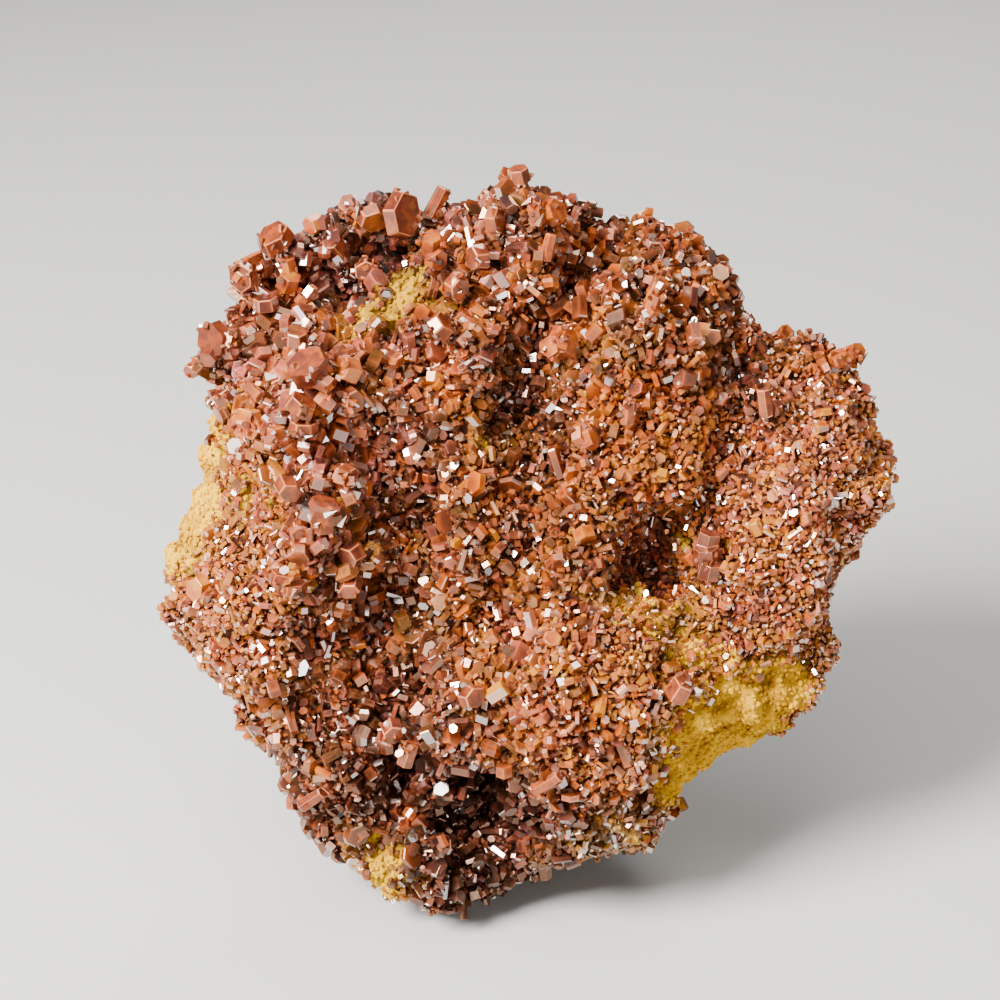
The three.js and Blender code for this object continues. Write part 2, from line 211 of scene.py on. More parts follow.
def add_light(name, place, size, power):
    lamp = bpy.data.lights.new(name, "AREA")
    lamp.shape = "DISK"
    lamp.size = size
    lamp.energy = power
    light = bpy.data.objects.new(name, lamp)
    light.location = place
    light.rotation_euler = (middle - Vector(place)).to_track_quat("-Z", "Y").to_euler()
    bpy.context.scene.collection.objects.link(light)


# name: (place in metres, width in metres, power in watts)
LIGHTS = {
    "key": ((-0.62, -0.46, 0.70), 0.46, 66),
    "sheen": ((-0.15, -0.45, 1.1), 0.6, 5.5),
    "fill": ((0.5, -0.85, 0.5), 0.26, 4),
    "back": ((0.2, 0.9, 0.8), 0.5, 9),
}
for name, row in LIGHTS.items():
    add_light(name, *row)

overhead = bpy.data.lights.new("overhead", "SUN")  # an unturned sun shines straight down
overhead.energy = 1.2
overhead.angle = math.radians(30)
bpy.context.scene.collection.objects.link(bpy.data.objects.new("overhead", overhead))
print(len(LIGHTS), "round lights and a soft sun")

# %% [markdown]
# ## The rock
#
# Limonite is earthy: rounded grains and pits of every size, and flat where it broke. The solids of the
# frame are joined and remeshed in small voxels. They stand 0.3 mm apart, so all are first swollen a
# little, which closes the gaps, and the result is shrunk again. The large crystals stand in sockets.
# Copies of them, pushed further in, plug these.

# %% One fine skin around rock, crust and sockets
VOXEL = 1.2 * MM
SWELL = 0.7 * MM
PLUG_DEPTH = 0.4  # for each mm of a crystal's size
DEEP_INSIDE = Vector((FACE_MIDDLE - 25 * FACE_OUT) * MM)


def apply_modifiers(piece, name):
    bpy.context.view_layer.update()
    seen = piece.evaluated_get(bpy.context.evaluated_depsgraph_get())
    mesh = bpy.data.meshes.new_from_object(seen)
    mesh.name = name
    bpy.data.objects.remove(piece)
    return mesh


def joined_copy(names, pushed_in=0.0):
    whole = bmesh.new()
    for name in names:
        first = len(whole.verts)
        whole.from_mesh(frame["nodes"][name].data)
        whole.verts.ensure_lookup_table()
        added = whole.verts[first:]
        centre = sum((v.co for v in added), Vector()) / len(added)
        size = 2 * max((v.co - centre).length for v in added)
        inwards = (DEEP_INSIDE - centre).normalized()
        bmesh.ops.translate(whole, verts=added, vec=inwards * size * pushed_in)
    bmesh.ops.remove_doubles(whole, verts=whole.verts, dist=1e-6)
    mesh = bpy.data.meshes.new("copy")
    whole.to_mesh(mesh)
    whole.free()
    return mesh


def joined_meshes(meshes):
    whole = bmesh.new()
    for mesh in meshes:
        whole.from_mesh(mesh)
    mesh = bpy.data.meshes.new("joined")
    whole.to_mesh(mesh)
    whole.free()
    return mesh


def displace(piece, strength):
    modifier = piece.modifiers.new("swell", "DISPLACE")
    modifier.strength = strength
    modifier.mid_level = 0


def keep_largest_island(mesh):
    whole = bmesh.new()
    whole.from_mesh(mesh)
    left, islands = set(whole.verts), []
    while left:
        island, edge = set(), [left.pop()]
        while edge:
            vertex = edge.pop()
            island.add(vertex)
            near = {e.other_vert(vertex) for e in vertex.link_edges} & left
            left -= near
            edge += near
        islands.append(island)
    islands.sort(key=len)
    for island in islands[:-1]:
        bmesh.ops.delete(whole, geom=list(island), context="VERTS")
    whole.to_mesh(mesh)
    whole.free()


def linked(name, mesh):
    piece = bpy.data.objects.new(name, mesh)
    bpy.context.scene.collection.objects.link(piece)
    return piece


# %% The remesh
plugs = joined_copy(standing, PLUG_DEPTH)
body = linked("body", joined_meshes([joined_copy([ROCK, CRUST]), plugs]))
displace(body, SWELL)
remesh = body.modifiers.new("remesh", "REMESH")
remesh.mode = "VOXEL"
remesh.voxel_size = VOXEL
remesh.use_smooth_shade = True
displace(body, -SWELL)
ease = body.modifiers.new("ease", "SMOOTH")
ease.factor = 0.5
ease.iterations = 3
skin = apply_modifiers(body, "skin")
keep_largest_island(skin)
print("the skin has", len(skin.polygons), "faces")

# %% [markdown]
# The crystals aren't alike all over. They are large and red on the rim at the upper left, orange in the
# middle and fine as sugar on the right. Each zone below says where it is, how far it reaches, how wide its
# crystals are, how orange they are, how dusty, and how much pale sheen is painted on them. Further lists
# say where a hollow sinks deeper and gets black painted shade, where the druse is worn off, and where a bit
# of white baryte sits.

# %% Zones of the druse
# name: (u, v, reach, width of a crystal in mm, orange, dusty, painted sheen), the last three around 0 to 1
ZONES = {
    "rim": (-44, 61, 16, 4.6, 0.46, 0.05, 1.1),
    "rim right": (-22, 66, 10, 4.2, 0.45, 0.1, 0.6),
    "shoulder": (-60, 38, 12, 4.4, 0.5, 0.2, 1.0),
    "crest": (-42, 27, 14, 4.1, 0.56, 0.1, 1.1),
    "crest foot": (-42, 4, 14, 3.5, 0.54, 0.15, 0.9),
    "crest edge": (-56, 20, 8, 3.0, 0.6, 0.5, 0.7),
    "flank": (-60, -12, 13, 1.5, 0.8, 0.8, 1.2),
    "left edge": (-68, 12, 10, 1.3, 0.6, 0.75, 0.7),
    "lower flank": (-52, -34, 14, 2.1, 0.4, 0.5, 0.4),
    "toe": (-30, -46, 15, 3.6, 0.18, 0.0, 0.15),
    "toe tip": (-22, -64, 10, 2.4, 0.2, 0.1, 0.2),
    "valley": (-22, 0, 12, 2.3, 0.42, 0.35, 0.4),
    "ledge": (-20, 50, 8, 3.4, 0.5, 0.1, 0.5),
    "ridge": (-8, 32, 14, 2.5, 0.4, 0.25, 0.25),
    "middle": (-4, -2, 16, 2.2, 0.44, 0.4, 0.2),
    "lower middle": (-14, -28, 12, 2.6, 0.42, 0.35, 0.3),
    "knob": (-2, 62, 13, 3.2, 0.45, 0.2, 0.6),
    "dome": (22, 52, 18, 2.7, 0.48, 0.3, 0.25),
    "dome edge": (36, 50, 9, 2.1, 0.42, 0.3, 0.3),
    "right of the middle": (26, 22, 15, 1.8, 0.62, 0.45, 0.25),
    "dome foot": (10, 22, 9, 2.2, 0.55, 0.35, 0.2),
    "lobe": (62, 12, 18, 1.5, 0.74, 0.5, 1.2),
    "lobe shelf": (50, 38, 9, 1.9, 0.4, 0.3, 0.4),
    "below the lobe": (52, -12, 14, 1.5, 0.68, 0.5, 0.9),
    "dusty gully": (25, -16, 9, 1.4, 0.6, 0.8, 0.5),
    "bulge": (12, -34, 16, 2.0, 0.76, 0.5, 0.8),
    "chin": (8, -56, 13, 2.2, 0.15, 0.15, 0.15),
}
# (u, v, reach, depth in mm, black), of hollows that sink and whose shade is painted black
SHADED_HOLLOWS = [
    (-36, 57, 7, 5.0, 1.0),
    (-29, 59, 6, 4.5, 1.0),
    (-27, 20, 7, 2.0, 0.6),
    (-24, 6, 8, 2.5, 0.35),
    (-25, -10, 7, 2.5, 0.35),
    (-27, -28, 7, 2.0, 0.6),
    (-43, -20, 6, 2.0, 0.6),
    (-1, 28, 6, 3.0, 0.8),
    (3, 13, 5, 2.5, 0.7),
    (10, 53, 5, 3.0, 0.8),
    (16, 63, 5, 1.5, 0.7),
    (-12, -54, 7, 3.5, 1.0),
    (-2, -57, 6, 3.0, 1.0),
    (24, -2, 7, 2.5, 0.8),
    (33, 4, 5, 1.5, 0.6),
    (43, 34, 6, 2.0, 0.7),
    (40, 22, 5, 1.0, 0.5),
    (-24, -47, 5, 2.5, 0.8),
]
# (u, v, reach)
WORN = [
    (22, -12, 5),
    (29, -17, 4),
    (36, -21, 4),
    (38, -28, 6),
    (-57, 11, 4),
    (-8, 20, 2),
    (14, -64, 3.5),
    (20, -61, 3.5),
]
BARYTE = (18, -62, 3)
# the shaded hollows, which sink and get black painted shade
print(len(ZONES), "zones and", len(SHADED_HOLLOWS), "stains")

# %% [markdown]
# Each point of the skin takes a mixture of the zones nearby. Its distance from the frame's crust and large
# crystals says where the druse is whole, where single crystals still stand beyond its edge, and where dust
# gets into it. Noise makes these edges ragged. All values are stored on the points, by name, for the node
# trees and the finishes to read.

# %% Measuring around the skin
DRUSE_EDGE = (0.3, 1.4)  # mm from the frame's crust: the druse is whole, and ends
COLLAR = 1.2  # mm: the druse reaches as far as this around a large crystal
FRINGE = 4.5  # mm: single crystals stand as far as this beyond the druse
DUST_REACH = 6.0  # mm: ochre dust gets as far as this into the druse


def near_places(places, u, v):
    return [np.exp(-((u - p[0]) ** 2 + (v - p[1]) ** 2) / p[2] ** 2) for p in places]


def mixed_zones(u, v):
    weights = np.array(near_places(ZONES.values(), u, v)) + 1e-5
    values = np.array([z[3:] for z in ZONES.values()])
    return values.T @ weights / weights.sum(0)


def tree_of(meshes):
    corners, faces = [], []
    for mesh in meshes:
        first = len(corners)
        corners += [v.co.copy() for v in mesh.vertices]
        faces += [[first + i for i in p.vertices] for p in mesh.polygons]
    return BVHTree.FromPolygons(corners, faces)


def signed_distance(meshes, points):
    """In mm, and below zero inside."""
    tree = tree_of(meshes)
    found = []
    for point in map(Vector, points):
        place, normal, _, distance = tree.find_nearest(point)
        found.append(math.copysign(distance / MM, (point - place).dot(normal)))
    return np.array(found)


def nearest(goals, points):
    tree = kdtree.KDTree(len(goals))
    for index, goal in enumerate(goals):
        tree.insert(goal, index)
    tree.balance()
    return np.array([tree.find(point)[2] for point in points]) / MM


def wobble(points, size, seed):
    shift = Vector((seed, 2 * seed, 3 * seed))
    return np.array([noise.noise(Vector(p) / (size * MM) + shift) for p in points])


def smooth_step(value, low_edge, high_edge):
    share = np.clip((value - low_edge) / (high_edge - low_edge), 0, 1)
    return share * share * (3 - 2 * share)


def store(mesh, values_by_name):
    for name, values in values_by_name.items():
        layer = mesh.attributes.get(name) or mesh.attributes.new(name, "FLOAT", "POINT")
        layer.data.foreach_set("value", values.astype(np.float32))


# %% What the skin's points store
places = points_of(skin)
u, v, w = face_places(places)
width, orange, dusty, paleness = mixed_zones(u, v)
front = smooth_step(w, -30, -12)
from_crust = np.abs(signed_distance([joined_copy([CRUST])], places))
from_large = signed_distance([joined_copy(standing)], places)
from_druse = np.minimum(from_crust, np.abs(from_large) - COLLAR)
worn = np.clip(sum(near_places(WORN, u, v)) * (1 + 2 * wobble(places, 3, 1)), 0, 1) * front
cover = (1 - smooth_step(from_druse, *DRUSE_EDGE)) * (1 - smooth_step(worn, 0.35, 0.65))
from_bare = nearest(places[cover < 0.3], places)
dust = np.clip(dusty + 0.7 * (1 - smooth_step(from_bare, 0.5, DUST_REACH)), 0, 1)
fringe = (1 - smooth_step(from_druse, 0, FRINGE)) * (0.5 + 0.8 * wobble(places, 2.5, 2))
hollows = np.array(near_places(SHADED_HOLLOWS, u, v)) * front
depth, black = (np.array([[s[i]] for s in SHADED_HOLLOWS]) for i in (3, 4))
sunk = (hollows * depth).max(0)
# black painted shade where a hollow lies in shade
stain = np.clip(1.2 * (hollows * black).max(0), 0, 1)
surface = {
    "width": width,
    "orange": orange,
    "paleness": paleness,
    "dust": dust * (1 - stain),
    "cover": cover,
    "density": np.clip(np.maximum(cover, fringe * front), 0, 1),
    "stain": stain,
    "hollow": 1.5 * sunk * cover,
    "sugar": (1 - cover) * smooth_step(w, -30, -14),
    "back": 1 - smooth_step(w, -22, -8),
    "baryte": near_places([BARYTE], u, v)[0] * front,
    # brighter yellow ochre on the front, most towards both sides; at the right corner, which faces away from
    # the key, this is painted light
    "fresh": (0.25 + 0.35 * smooth_step(np.abs(u + 15), 25, 45)) * front,
}
store(skin, surface)
print("the druse covers", round(100 * cover.mean()), "percent of the skin")

# %% [markdown]
# ## Shaping the surface
#
# Geometry Nodes push the skin in. Under the druse it sinks by about as much as the crystals will stand out
# of it, and further between clumps: real druses are knobbly, with dark gaps between the knobs. Voronoi cells
# make good clumps, since they bulge in the middle and meet in creases. Bare rock at the front gets lumps and
# pits, and the back, where the piece broke off, gets pits and steps: flat places at two levels with ragged
# breaks between them. How deep a point was pushed in is stored as "recess", so that the rock's finish can
# paint shade into the hollows. Points that would leave the frame's box are held at its sides.


# %% Tools for shape trees
FINISH_SOCKETS = {"Lowest": "Vector", "Highest": "Vector", "Material": "Material"}


def new_shape_tree(name, sockets):
    tree = bpy.data.node_groups.new(name, "GeometryNodeTree")
    tree.interface.new_socket("Geometry", in_out="INPUT", socket_type="NodeSocketGeometry")
    for title, kind in (sockets | FINISH_SOCKETS).items():
        tree.interface.new_socket(title, in_out="INPUT", socket_type="NodeSocket" + kind)
    tree.interface.new_socket("Geometry", in_out="OUTPUT", socket_type="NodeSocketGeometry")
    return tree, add_node(tree, "NodeGroupInput").outputs


def finish_tree(tree, geometry, given):
    """Points that left the frame's box come back to its sides, and the material is set."""
    place = add_node(tree, "GeometryNodeInputPosition")
    above = add_node(tree, VECTOR, (place, given["Lowest"]), operation="MAXIMUM")
    inside = add_node(tree, VECTOR, (above, given["Highest"]), operation="MINIMUM")
    held = add_node(tree, "GeometryNodeSetPosition", {"Geometry": geometry, "Position": inside})
    dressed = {"Geometry": held, "Material": given["Material"]}
    dressed = add_node(tree, "GeometryNodeSetMaterial", dressed)
    add_node(tree, "NodeGroupOutput", {"Geometry": dressed})
    return tree


# %% Clumps and broken steps
def clumps(tree, size, bend):
    """0 in the middle of each clump, 1 in the creases between them."""
    place = add_node(tree, "GeometryNodeInputPosition")
    bent = add_node(tree, NOISE, {"Scale": 1 / size, "Detail": 1.0}).outputs["Color"]
    centred = add_node(tree, VECTOR, (bent, (0.5, 0.5, 0.5)), operation="SUBTRACT")
    shift = add_node(tree, VECTOR, {0: centred, "Scale": bend}, operation="SCALE")
    there = add_node(tree, VECTOR, (place, shift), **PLUS)
    cells = add_node(tree, "ShaderNodeTexVoronoi", {"Vector": there, "Scale": 1 / size})
    return add_node(tree, RANGE, (cells.outputs["Distance"], 0.2, 0.8), **SMOOTH)


def broken_steps(tree, size):
    """Flat at two levels, 0 and 1, with a steep and ragged break between them."""
    ragged = add_node(tree, NOISE, {"Scale": 1 / size, "Detail": 4.0})
    return add_node(tree, RANGE, (ragged, 0.44, 0.56), **SMOOTH)


# %% A tree that shapes the rock
def depth_under_druse(tree, given):
    wide = add_node(tree, VALUE, {"Name": "width"})
    under = add_node(tree, MATH, (wide, given["Sunk"]), **TIMES)
    narrow = add_node(tree, MATH, (clumps(tree, 5 * MM, 3 * MM), 0.5), **TIMES)
    creased = add_node(tree, MATH, (clumps(tree, 10 * MM, 8 * MM), narrow), **PLUS)
    share = add_node(tree, RANGE, (wide, 1.2, 4.0, 0.8, 1.0), **SMOOTH)
    shared = add_node(tree, MATH, (creased, share), **TIMES)
    creases = add_node(tree, MATH, (shared, given["Creases"]), **TIMES)
    hollow = add_node(tree, MATH, (add_node(tree, VALUE, {"Name": "hollow"}), MM), **TIMES)
    sunk = add_node(tree, MATH, (under, creases), **PLUS)
    sunk = add_node(tree, MATH, (sunk, hollow), **PLUS)
    return add_node(tree, MATH, (sunk, -1.0 * MM), **PLUS)


def depth_of_bare_rock(tree, given):
    ragged = add_node(tree, NOISE, {"Scale": 1 / (4 * MM), "Detail": 5.0})
    pitted = add_node(tree, RANGE, (ragged, 0.7, 0.35), **SMOOTH)
    pits = add_node(tree, MATH, (pitted, given["Pits"]), **TIMES)
    lumpy = (clumps(tree, 7 * MM, 6 * MM), given["Lumps"], pits)
    lumps = add_node(tree, MATH, lumpy, **TIMES_PLUS)
    on_front = add_node(tree, MATH, (lumps, -0.6 * MM), **PLUS)
    steps = (broken_steps(tree, 9 * MM), 0.4, broken_steps(tree, 26 * MM))
    steps = add_node(tree, MATH, steps, **TIMES_PLUS)
    on_back = add_node(tree, MATH, (steps, given["Breaks"], pits), **TIMES_PLUS)
    return add_node(tree, MIX, {0: add_node(tree, VALUE, {"Name": "back"}), 2: on_front, 3: on_back})


def rock_tree():
    sockets = dict.fromkeys(("Sunk", "Creases", "Lumps", "Pits", "Breaks"), "Float")
    tree, given = new_shape_tree("rock surface", sockets)
    on_druse, on_rock = depth_under_druse(tree, given), depth_of_bare_rock(tree, given)
    depth = add_node(tree, MIX, {0: add_node(tree, VALUE, {"Name": "cover"}), 2: on_rock, 3: on_druse})
    inwards = add_node(tree, MATH, (depth, -1.0), **TIMES)
    normal = add_node(tree, "GeometryNodeInputNormal")
    offset = add_node(tree, VECTOR, {0: normal, "Scale": inwards}, operation="SCALE")
    moved = add_node(tree, "GeometryNodeSetPosition", {"Geometry": given["Geometry"], "Offset": offset})
    recess = add_node(tree, RANGE, (depth, 0.0, 5.0 * MM), **SMOOTH)
    stored = {"Geometry": moved, "Name": "recess", "Value": recess}
    return finish_tree(tree, add_node(tree, KEEP, stored, domain="POINT"), given)


def run_tree(tree, mesh, name, values):
    values = values | {"Lowest": low, "Highest": high}
    piece = linked(name, mesh)
    modifier = piece.modifiers.new("nodes", "NODES")
    modifier.node_group = tree
    for item in tree.interface.items_tree:
        if item.in_out == "INPUT" and item.name in values:
            modifier[item.identifier] = values[item.name]
    return apply_modifiers(piece, name)


# %% [markdown]
# ## Minerals
#
# Limonite is matt and ochre, browner at the back, with rusty and black patches there. Shade is painted into
# it: it is darker the deeper its hollows are, and black in the shaded hollows. Its colours come from noise of
# a
# real size: 9 mm patches and 1 mm grains. The values that are stored on the points say where the rest
# belongs.


# %% Tools for finishes
def new_material(name):
    material = bpy.data.materials.new(name)
    material.use_nodes = True
    tree = material.node_tree
    return material, tree, tree.nodes["Principled BSDF"]


def patches(tree, size, detail, roughness=0.6):
    """Noise of a real size, in the space of the piece."""
    place = add_node(tree, "ShaderNodeTexCoord").outputs["Object"]
    inputs = {"Vector": place, "Scale": 1 / size, "Detail": detail, "Roughness": roughness}
    return add_node(tree, NOISE, inputs)


def read_values(tree, *names):
    """The values that the points or faces store under these names."""
    nodes = [add_node(tree, "ShaderNodeAttribute", attribute_name=name) for name in names]
    return [node.outputs["Fac"] for node in nodes]


# %% Limonite
OCHRE = [(0.3, "#66450C"), (0.42, "#966A0C"), (0.55, "#B88C0E"), (0.72, "#C8A416")]
BLEND = {"data_type": "RGBA"}


def limonite():
    material, tree, shader = new_material("earthy limonite")
    fresh, back, recess, cover, baryte, stain = read_values(
        tree, "fresh", "back", "recess", "cover", "baryte", "stain"
    )
    colour = add_node(tree, "ShaderNodeValToRGB", (patches(tree, 9 * MM, 6.0, 0.65),), OCHRE)
    fine = patches(tree, 1.0 * MM, 4.0, 0.7)
    grain = add_node(tree, "ShaderNodeValToRGB", (fine,), [(0.32, "#8A6420"), (0.5, "#FFFFFF")])
    colour = add_node(tree, MIX, {0: 0.7, 6: colour, 7: grain}, **BLEND, blend_type="MULTIPLY")
    brown = add_node(tree, MATH, (back, 0.5), **TIMES)
    rusty = add_node(tree, RANGE, (patches(tree, 20 * MM, 5.0), 0.45, 0.62, 0.0, 0.85), **SMOOTH)
    rusty = add_node(tree, MATH, (rusty, back), **TIMES)
    black = add_node(tree, RANGE, (patches(tree, 13 * MM, 6.0, 0.7), 0.56, 0.66, 0.0, 0.9), **SMOOTH)
    black = add_node(tree, MATH, (black, back), **TIMES)
    # the brighter yellow ochre, partly its own colour and partly painted light on the right corner that faces
    # away from the key; browner, rusty and black at the back
    for share, code in ((fresh, "#E0A80A"), (brown, "#8A6434"), (rusty, "#5A300E"), (black, "#1A110A")):
        colour = add_node(tree, MIX, {0: share, 6: colour, 7: linear(code)}, **BLEND)
    # painted shade: the deeper the skin was pushed in, the darker the rock
    painted_recess_shade = add_node(tree, "ShaderNodeValToRGB", (recess,), [(0.1, "#FFFFFF"), (0.9, "#8C6A4A")])
    colour = add_node(tree, MIX, {0: 0.8, 6: colour, 7: painted_recess_shade}, **BLEND, blend_type="MULTIPLY")
    # painted shade: dark brown under the druse, partly its own ground and partly the shade in the gaps
    # between the crystals; black in the shaded hollows; the baryte is white
    for share, code in ((cover, "#38180A"), (baryte, "#B4AEA4"), (stain, "#0D0906")):
        colour = add_node(tree, MIX, {0: share, 6: colour, 7: linear(code)}, **BLEND)
    tree.links.new(colour.outputs[2], shader.inputs["Base Color"])
    shader.inputs["Roughness"].default_value = 0.92
    shader.inputs["Specular IOR Level"].default_value = 0.15
    rough = add_node(tree, MATH, (patches(tree, 3 * MM, 5.0, 0.7), 2.0, fine), **TIMES_PLUS)
    bump = add_node(tree, "ShaderNodeBump", {"Strength": 0.8, "Distance": 0.7 * MM, "Height": rough})
    tree.links.new(bump.outputs["Normal"], shader.inputs["Normal"])
    return material


limonite_finish = limonite()
print(limonite_finish.name, "has", len(limonite_finish.node_tree.nodes), "nodes")

# %% [markdown]
# Vanadinite is a lead mineral and bends light nearly as much as diamond does, with an IOR of 2.4. In a pale
# studio that greys its colour, so an IOR of 2.0 with a warm tint stands for it: a face mirrors a ninth of
# the light that falls on it. Some faces are as smooth as glass. They get a clear coat that mirrors over a
# quarter, and flash white. Light also gets half a millimetre into a crystal and comes out orange. Each
# small crystal has a tone and dust of its own and a pale pink sheen that is painted on, all stored on it as
# it is grown. Painted shade darkens its root and a painted highlight lightens its free end. A faint bump
# stands for the growth steps that keep the other faces from being perfect mirrors.

# %% Vanadinite
BODY_COLOURS = [
    (0.0, "#0E0503"),
    (0.2, "#260D05"),
    (0.4, "#461A08"),
    (0.58, "#6A2A07"),
    (0.74, "#883A05"),
    (0.88, "#984C03"),
    (1.0, "#A26406"),
]
DUST_COLOUR = "#8A5A1A"
# a pale pink painted sheen, for faces that mirror the broad light; the large crystals get an even share of it
PAINTED_SHEEN_COLOUR = "#A8564A"
# the large crystals' bevelled edges: partly rubbed wear and partly a painted highlight
WORN_EDGE_HIGHLIGHT = "#C07850"
LARGE_PAINTED_SHEEN = 0.25
WARM_TINT = "#FFC8A6"


def vanadinite(name, roughness, tone=None, worn=0.0):
    """Small crystals take the values stored on them. Large ones get a tone, with patches and dust in it."""
    material, tree, shader = new_material(name)
    tip, bright = read_values(tree, "tip", "bright")
    if tone is None:
        own_tone, own_dust, pale = read_values(tree, "tone", "dust", "pale")
        # painted shade and highlight: the tone darkens towards the root and lightens towards the free end
        along = add_node(tree, RANGE, (tip, 0.0, 1.0, -0.22, 0.16), **SMOOTH)
        value = add_node(tree, MATH, (own_tone, along), **PLUS)
        speckles = add_node(tree, RANGE, (patches(tree, 0.7 * MM, 2.0), 0.35, 0.6, 0.35, 1.0), **SMOOTH)
        dusted = add_node(tree, MATH, (own_dust, speckles), **TIMES)
    else:
        pale = LARGE_PAINTED_SHEEN
        streaks = (patches(tree, 2.5 * MM, 3.0), 0.3, 0.7, tone - 0.2, tone + 0.2)
        value = add_node(tree, RANGE, streaks, **SMOOTH)
        dusted = add_node(tree, RANGE, (patches(tree, 3.5 * MM, 4.0), 0.58, 0.75, 0.0, 0.4), **SMOOTH)
    colour = add_node(tree, "ShaderNodeValToRGB", (value,), BODY_COLOURS)
    # painted highlight at the free end, stronger on crystals with more painted sheen
    at_tip = add_node(tree, MATH, (tip, 3.0), operation="POWER")
    tip_highlight = add_node(tree, MATH, (pale, 0.6, 0.06), **TIMES_PLUS)
    painted_tip_highlight = add_node(tree, MATH, (at_tip, tip_highlight), **TIMES)
    painted_light_share = add_node(tree, MATH, (pale, 0.4, painted_tip_highlight), **TIMES_PLUS)
    # mixed in: the painted sheen and highlight, dust, and on bevelled edges a colour that is partly wear and
    # partly a painted highlight
    for share, code in ((painted_light_share, PAINTED_SHEEN_COLOUR), (dusted, DUST_COLOUR), (worn, WORN_EDGE_HIGHLIGHT)):
        colour = add_node(tree, MIX, {0: share, 6: colour, 7: linear(code)}, **BLEND)
    tree.links.new(colour.outputs[2], shader.inputs["Base Color"])
    shader.inputs["Roughness"].default_value = roughness
    shader.inputs["IOR"].default_value = 2.0
    shader.inputs["Specular Tint"].default_value = linear(WARM_TINT)
    shader.inputs["Coat IOR"].default_value = 3.2
    shader.inputs["Coat Roughness"].default_value = 0.12
    tree.links.new(bright, shader.inputs["Coat Weight"])
    shader.inputs["Subsurface Weight"].default_value = 0.2
    shader.inputs["Subsurface Radius"].default_value = (1.0, 0.3, 0.08)
    shader.inputs["Subsurface Scale"].default_value = 0.6 * MM
    growth_steps = {"Strength": 0.2, "Distance": 0.1 * MM, "Height": patches(tree, 0.9 * MM, 3.0)}
    bump = add_node(tree, "ShaderNodeBump", growth_steps)
    tree.links.new(bump.outputs["Normal"], shader.inputs["Normal"])
    return material


druse_finish = vanadinite("drusy vanadinite, bright", 0.2)
print(druse_finish.name, "has", len(druse_finish.node_tree.nodes), "nodes")

# %% The rock itself
rock_values = {
    "Sunk": 0.38 * MM,  # for each mm of the crystals' width
    "Creases": 4.4 * MM,
    "Lumps": 2.2 * MM,
    "Pits": 2.0 * MM,
    "Breaks": 4.0 * MM,  # on the back and the sides
    "Material": limonite_finish,
}
rock_mesh = run_tree(rock_tree(), skin, "limonite_rock", rock_values)
rock = linked("limonite_rock", rock_mesh)
rock_points = points_of(rock_mesh)
print("the rock has", 2 * len(rock_mesh.polygons), "triangles")

# %% [markdown]
# ## The small crystals
#
# Vanadinite grows as six-sided prisms: thin plates, which mostly stand on edge, thick tablets, barrels that
# narrow towards both ends, and now and then a hopper, whose end is hollow because its edges grew faster
# than its middle. A few shapes are enough, since each copy gets a size, a stretch, a turn and a tone of its
# own. Smaller crystals get plainer shapes, as their edges are too small to be seen, and the finest are only
# bars and chips whose lower ends are hidden.


# %% Bodies of a crystal
SIDES = [0.93, 0.8, 0.9, 0.86, 0.78, 0.95]  # how far each side of the hexagon lies from the axis


def hexagon(radius, spin):
    """Corners with even angles but uneven sides, like those of real crystals."""
    corners = []
    for i in range(6):
        near, next_one = SIDES[(i + spin) % 6], SIDES[(i + 1 + spin) % 6]
        along = (next_one - near * math.cos(math.pi / 3)) / math.sin(math.pi / 3)
        corner = Vector((near, along, 0)) * radius
        corners.append(Matrix.Rotation(math.radians(60 * i), 3, "Z") @ corner)
    return corners


def add_prism(shape, rings, spin, lean, shift):
    """A closed six-sided body from rings of (radius, height), leant over."""
    place = Matrix.Translation(shift) @ Matrix.Rotation(math.radians(lean), 4, "Y")
    place @= Matrix.Rotation(math.radians(20 * spin), 4, "Z")
    rows = []
    for radius, height in rings:
        corners = [place @ (corner + Vector((0, 0, height))) for corner in hexagon(radius, spin)]
        rows.append([shape.verts.new(corner) for corner in corners])
    for below, above in zip(rows, rows[1:]):
        for i in range(6):
            j = (i + 1) % 6
            shape.faces.new((below[i], below[j], above[j], above[i]))
    shape.faces.new(rows[0])
    shape.faces.new(rows[-1])


def add_bar(shape, outline, length):
    """A body of one cross-section, given as (x, z), that lies along Y."""
    ends = [[shape.verts.new((x, y, z)) for x, z in outline] for y in (-length / 2, length / 2)]
    for i, j in zip(range(len(outline)), (*range(1, len(outline)), 0)):
        shape.faces.new((ends[0][i], ends[0][j], ends[1][j], ends[1][i]))
    for end in ends:
        shape.faces.new(end)


def add_chip(shape, radius, height, depth, lean):
    """A six-sided end whose sides run together below."""
    place = Matrix.Rotation(math.radians(lean), 4, "Y")
    corners = [shape.verts.new(place @ (c + Vector((0, 0, height)))) for c in hexagon(radius, 0)]
    root = shape.verts.new(place @ Vector((0, 0, -depth)))
    shape.faces.new(corners)
    for i in range(6):
        shape.faces.new((corners[i], corners[(i + 1) % 6], root))


def block(radius, length, bevel=0.0):
    """Rings for a prism with its upper edges cut off, or left sharp."""
    half = length / 2
    ends = [(radius, half - bevel), (radius - bevel, half)] if bevel else [(radius, half)]
    return [(radius * 0.92, -half), *ends]


# %% The list of shapes
# all for a crystal that is about 1 wide, on ground at height 0
BARREL = [(0.38, -0.36), (0.48, -0.1), (0.48, 0.12), (0.38, 0.36)]
HOPPER = [(0.46, -0.26), (0.52, 0.24), (0.42, 0.26), (0.26, 0.1)]
